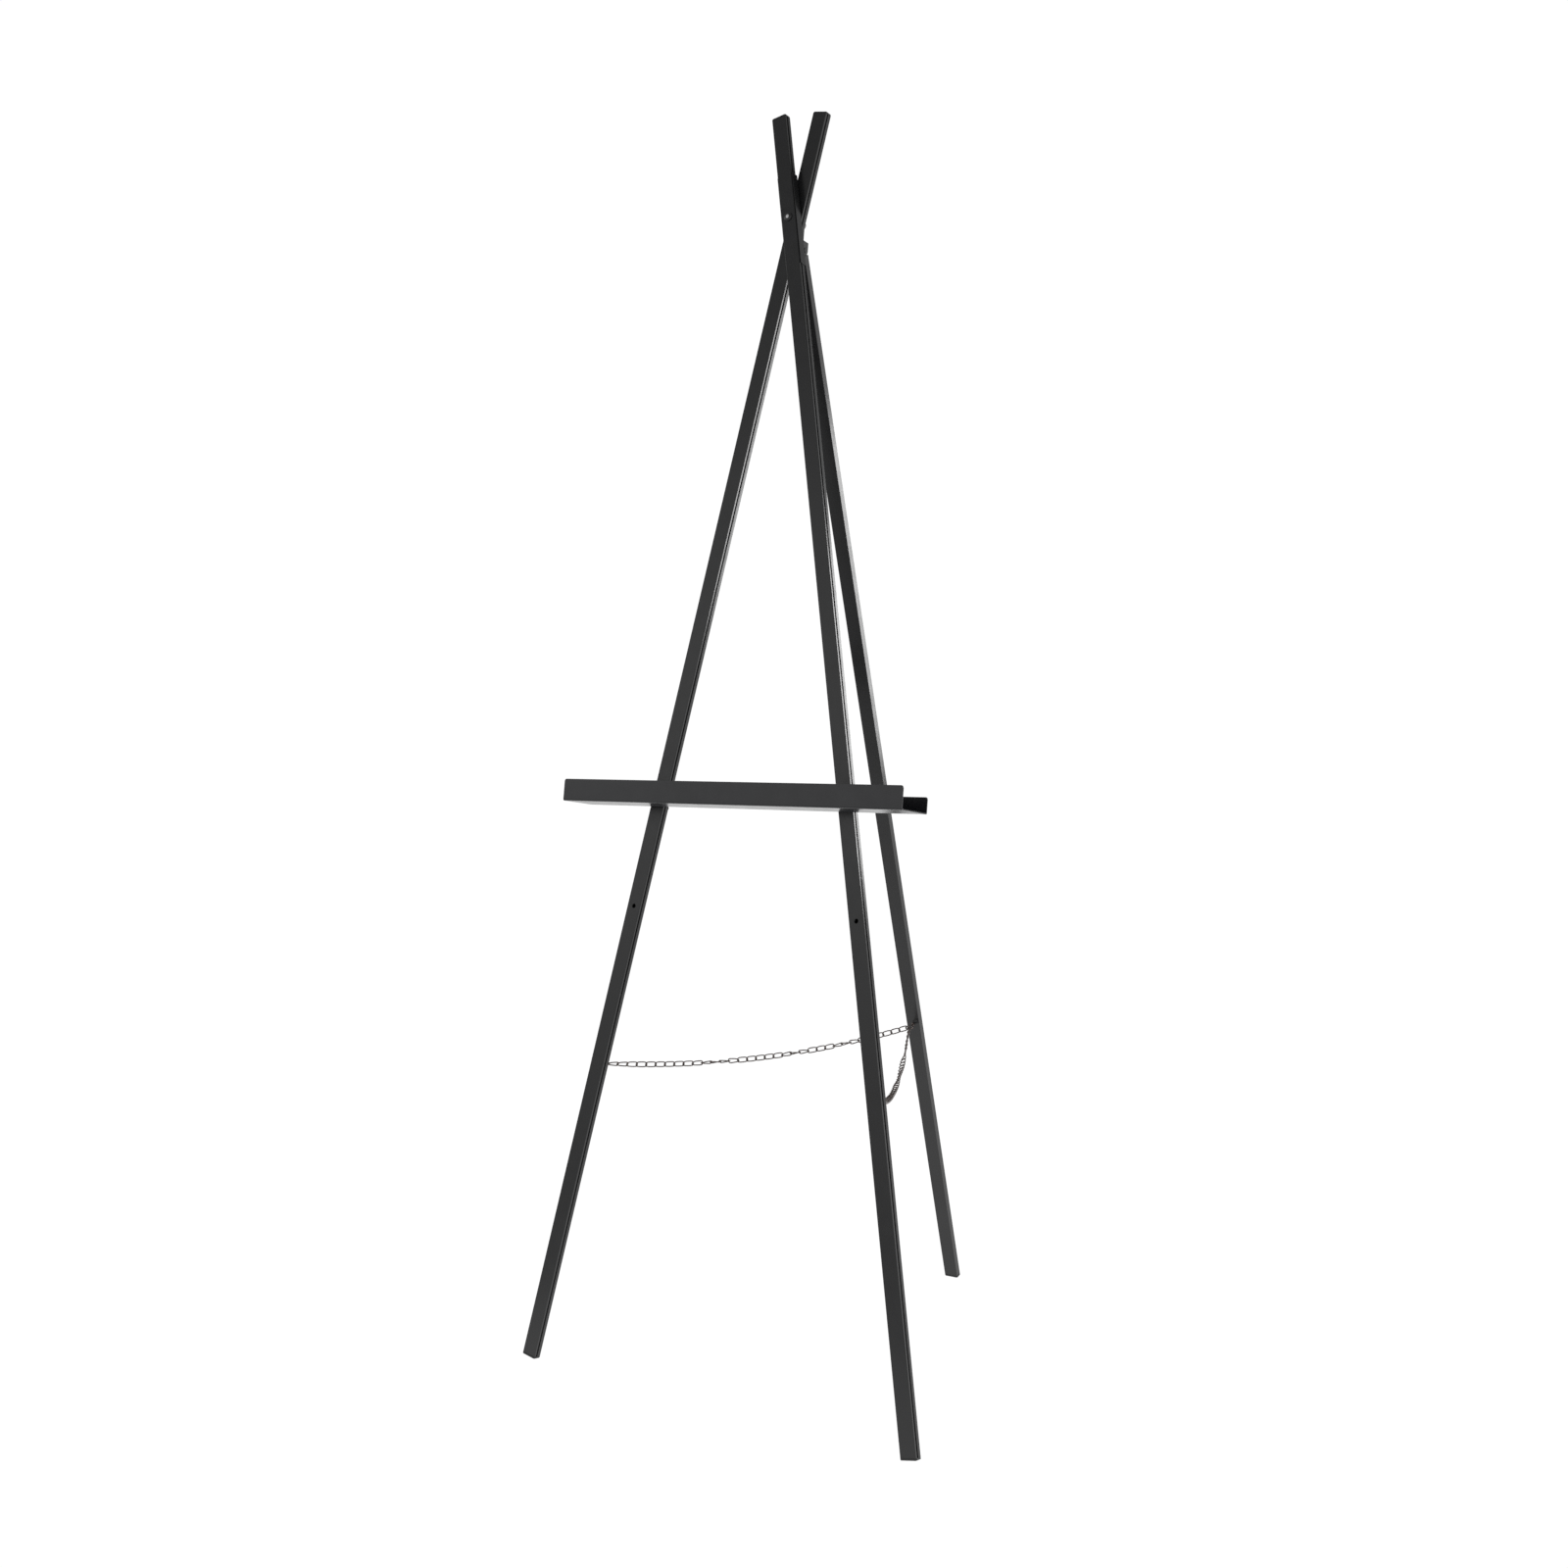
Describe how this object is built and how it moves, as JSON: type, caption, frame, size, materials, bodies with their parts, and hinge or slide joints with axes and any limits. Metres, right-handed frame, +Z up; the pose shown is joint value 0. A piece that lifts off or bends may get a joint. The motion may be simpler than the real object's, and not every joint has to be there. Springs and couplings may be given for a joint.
{
  "type": "folding tripod display easel",
  "caption": "Black folding tripod easel with crossed front legs, a hinged rear leg, a U-shaped picture tray on wing bolts and chains that tie the legs at knee height.",
  "frame": {"origin": "on the floor at the middle of the footprint of the three feet, legs spread", "axes": "+Z up, +X to the right of a person who faces the easel's front, -Y towards that person"},
  "size_m": [0.5838, 0.6207, 1.5617],
  "materials": {
    "leg_coating": "satin black powder coat on aluminium",
    "cap_plastic": "moulded black plastic",
    "tray_coating": "satin black powder coat on sheet",
    "black_hardware": "black coated steel",
    "wing_plastic": "moulded black plastic",
    "zinc_hardware": "zinc plated steel",
    "nylon": "natural nylon",
    "chain_steel": "dull brown grey plated wire"
  },
  "bodies": {
    "pivot_assembly": {"hinge_bracket": "black_hardware", "pivot_bolt": "black_hardware", "pivot_lock_nut": "black_hardware", "pivot_steel_washer": "black_hardware", "pivot_nylon_washers": "nylon", "rear_hinge_pin": "black_hardware"},
    "front_leg_right_assembly": {"front_leg_right": "leg_coating", "foot_cap_right": "cap_plastic", "top_cap_right": "cap_plastic", "pivot_saddle": "black_hardware", "chain_eye_right": "chain_steel", "tray_bolt_right": "black_hardware", "tray_washer_right": "zinc_hardware"},
    "front_leg_left_assembly": {"front_leg_left": "leg_coating", "foot_cap_left": "cap_plastic", "top_cap_left": "cap_plastic", "chain_eye_left": "chain_steel", "tray_bolt_left": "black_hardware", "tray_spacer_left": "cap_plastic", "tray_washer_left": "zinc_hardware"},
    "rear_leg_assembly": {"rear_leg": "leg_coating", "foot_cap_rear": "cap_plastic", "rear_hinge_head": "cap_plastic", "chain_eye_rear": "chain_steel"},
    "tray_body": {"tray": "tray_coating"},
    "wing_nut_right_body": {"wing_nut_right": "wing_plastic"},
    "wing_nut_left_body": {"wing_nut_left": "wing_plastic"},
    "chain_left_front_body": {"chain_left_front_half": "chain_steel"},
    "chain_left_rear_body": {"chain_left_rear_half": "chain_steel"},
    "chain_right_front_body": {"chain_right_front_half": "chain_steel"},
    "chain_right_rear_body": {"chain_right_rear_half": "chain_steel"}
  },
  "joints": [
    {"name": "front_leg_right_fold", "type": "hinge", "parent": "pivot_assembly", "child": "front_leg_right_assembly", "pos_m": [-0.00018, -0.11964, 1.42735], "axis": [0, 0.9912, -0.1323], "range_deg": [0, 10]},
    {"name": "front_leg_left_fold", "type": "hinge", "parent": "pivot_assembly", "child": "front_leg_left_assembly", "pos_m": [-0.00018, -0.11964, 1.42735], "axis": [0, 0.9912, -0.1323], "range_deg": [-10, 0]},
    {"name": "rear_leg_fold", "type": "hinge", "parent": "pivot_assembly", "child": "rear_leg_assembly", "pos_m": [-0.00218, -0.09297, 1.3905], "axis": [-1, 0, 0], "range_deg": [0, 22]},
    {"name": "tray_lowering", "type": "slide", "parent": "pivot_assembly", "child": "tray_body", "axis": [0, -0.1323, -0.9912], "range_m": [0, 0.01365]},
    {"name": "wing_nut_right_turn", "type": "hinge", "parent": "front_leg_right_assembly", "child": "wing_nut_right_body", "pos_m": [0.14167, -0.19543, 0.70806], "axis": [0, 0.9912, -0.1323], "continuous": true},
    {"name": "wing_nut_left_turn", "type": "hinge", "parent": "front_leg_left_assembly", "child": "wing_nut_left_body", "pos_m": [-0.14203, -0.18155, 0.7062], "axis": [0, 0.9912, -0.1323], "continuous": true},
    {"name": "chain_left_front_swing", "type": "hinge", "parent": "front_leg_left_assembly", "child": "chain_left_front_body", "pos_m": [-0.20652, -0.22311, 0.37219], "axis": [-0.8321, 0.0088, 0.5546], "range_deg": [0, 110.83]},
    {"name": "chain_left_rear_swing", "type": "hinge", "parent": "rear_leg_assembly", "child": "chain_left_rear_body", "pos_m": [-0.00444, 0.17575, 0.38065], "axis": [0.9278, -0.0497, 0.3699], "range_deg": [0, 109.58]},
    {"name": "chain_right_front_swing", "type": "hinge", "parent": "front_leg_right_assembly", "child": "chain_right_front_body", "pos_m": [0.20617, -0.23678, 0.37402], "axis": [-0.8213, -0.0109, -0.5704], "range_deg": [0, 108.51]},
    {"name": "chain_right_rear_swing", "type": "hinge", "parent": "rear_leg_assembly", "child": "chain_right_rear_body", "pos_m": [0.00005, 0.17574, 0.38065], "axis": [0.9217, 0.0438, -0.3855], "range_deg": [0, 108.11]}
  ],
  "couplings": [
    {"joint": "front_leg_left_fold", "follows": "front_leg_right_fold", "ratio": -1},
    {"joint": "rear_leg_fold", "follows": "front_leg_right_fold", "ratio": 2.2},
    {"joint": "tray_lowering", "follows": "front_leg_right_fold", "m_per_rad": 0.078191},
    {"joint": "chain_left_front_swing", "follows": "front_leg_right_fold", "ratio": 11.083},
    {"joint": "chain_left_rear_swing", "follows": "front_leg_right_fold", "ratio": 10.958},
    {"joint": "chain_right_front_swing", "follows": "front_leg_right_fold", "ratio": 10.851},
    {"joint": "chain_right_rear_swing", "follows": "front_leg_right_fold", "ratio": 10.81}
  ]
}
